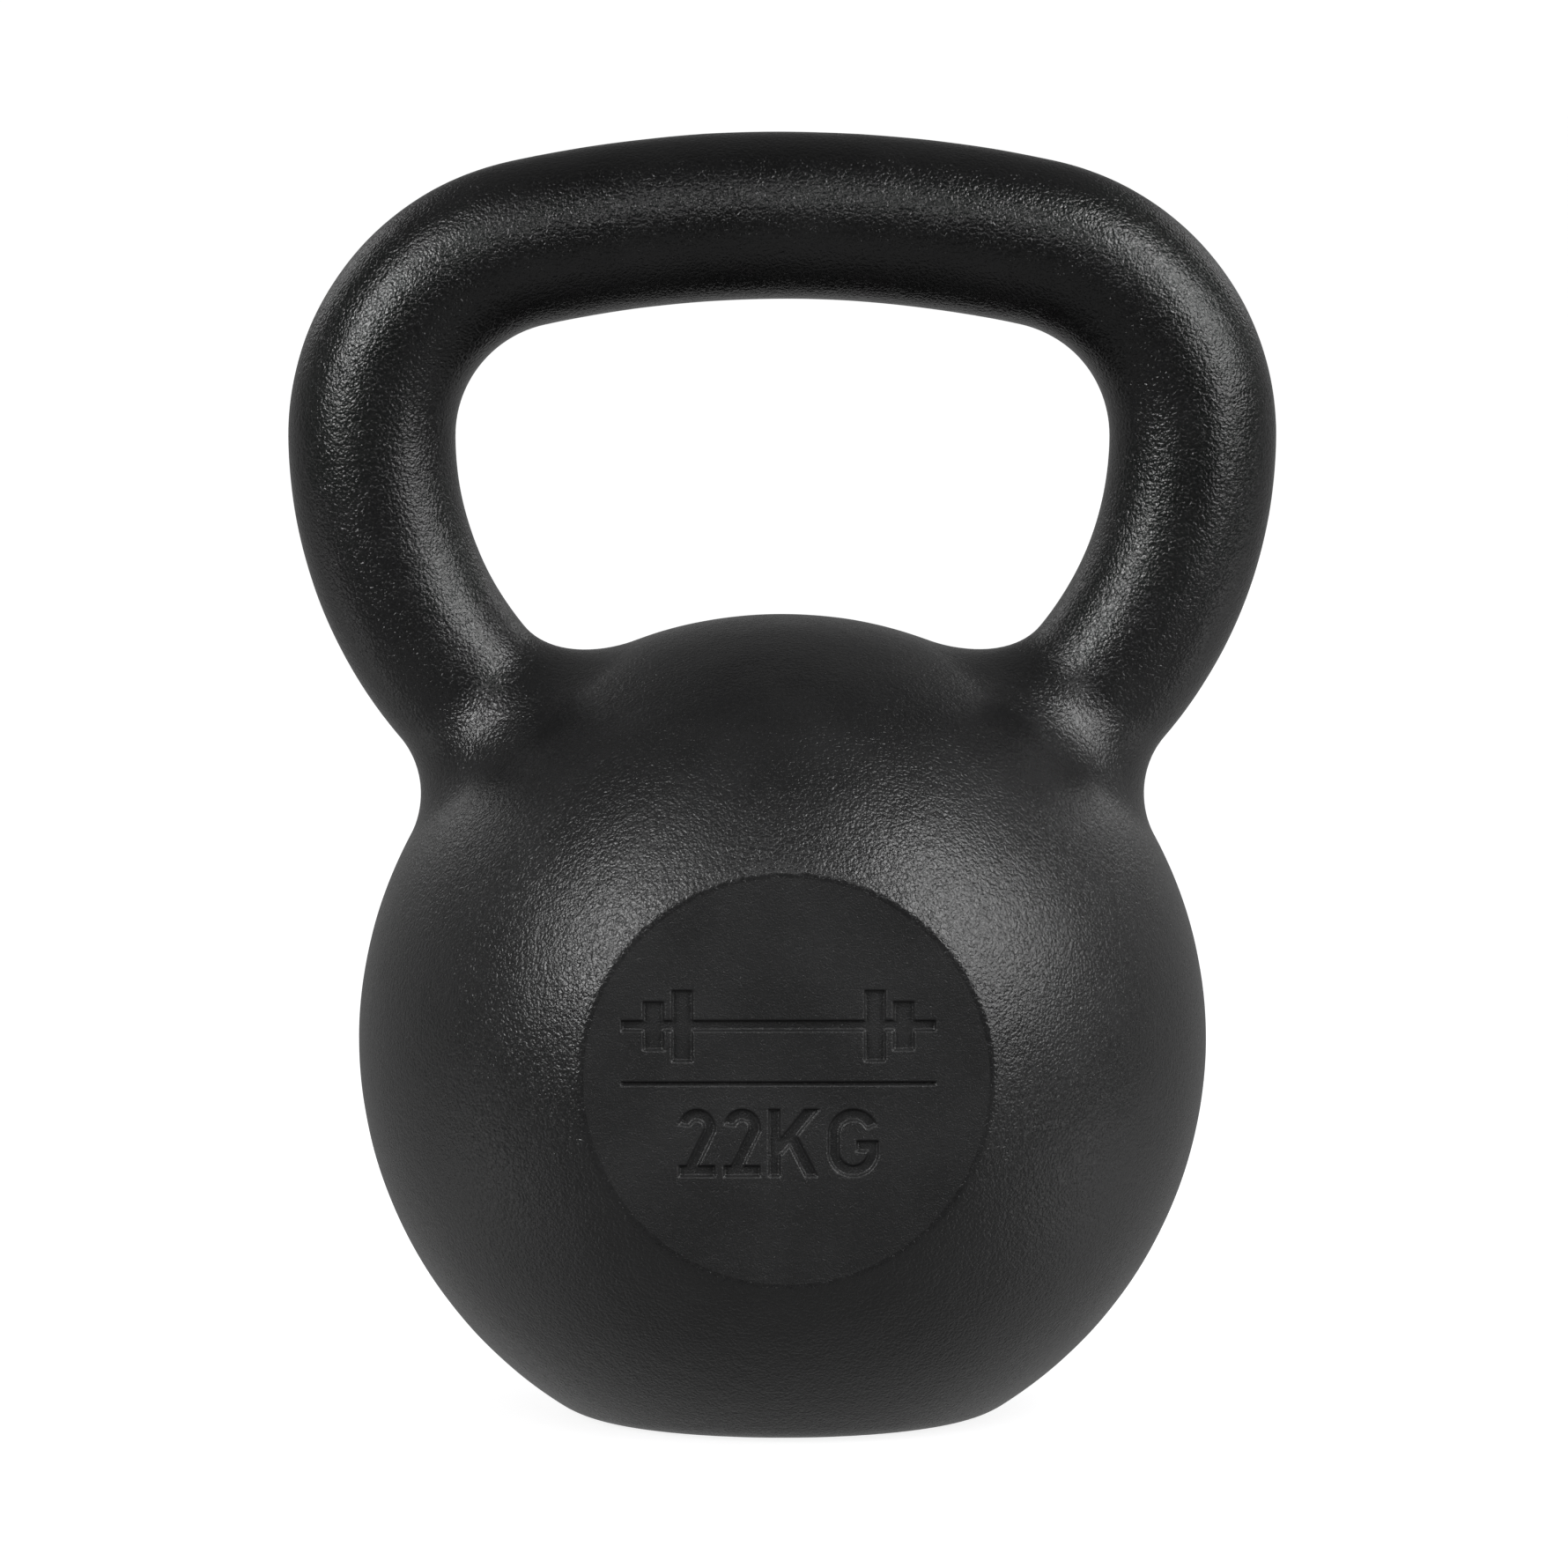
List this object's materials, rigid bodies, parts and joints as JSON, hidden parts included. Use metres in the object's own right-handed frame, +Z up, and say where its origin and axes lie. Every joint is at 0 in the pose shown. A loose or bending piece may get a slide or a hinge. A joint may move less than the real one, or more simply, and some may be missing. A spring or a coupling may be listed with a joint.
{
  "type": "kettlebell",
  "caption": "Cast iron kettlebell: a round ball with a flat base and flat front and back faces, and a wide loop handle, under a textured black powder coat.",
  "frame": {"origin": "middle of the flat base, on the vertical axis through the ball's centre", "axes": "+Z up from the base to the grip; +X along the grip, to the right as seen from the front; +Y from the marked front face to the plain back face"},
  "size_m": [0.204, 0.1542, 0.266],
  "materials": {
    "iron": "matte",
    "coat": "matte"
  },
  "bodies": {
    "root": {"bell": "iron", "horn_left": "iron", "horn_right": "iron", "grip": "iron", "powder_coat": "coat"}
  },
  "joints": []
}
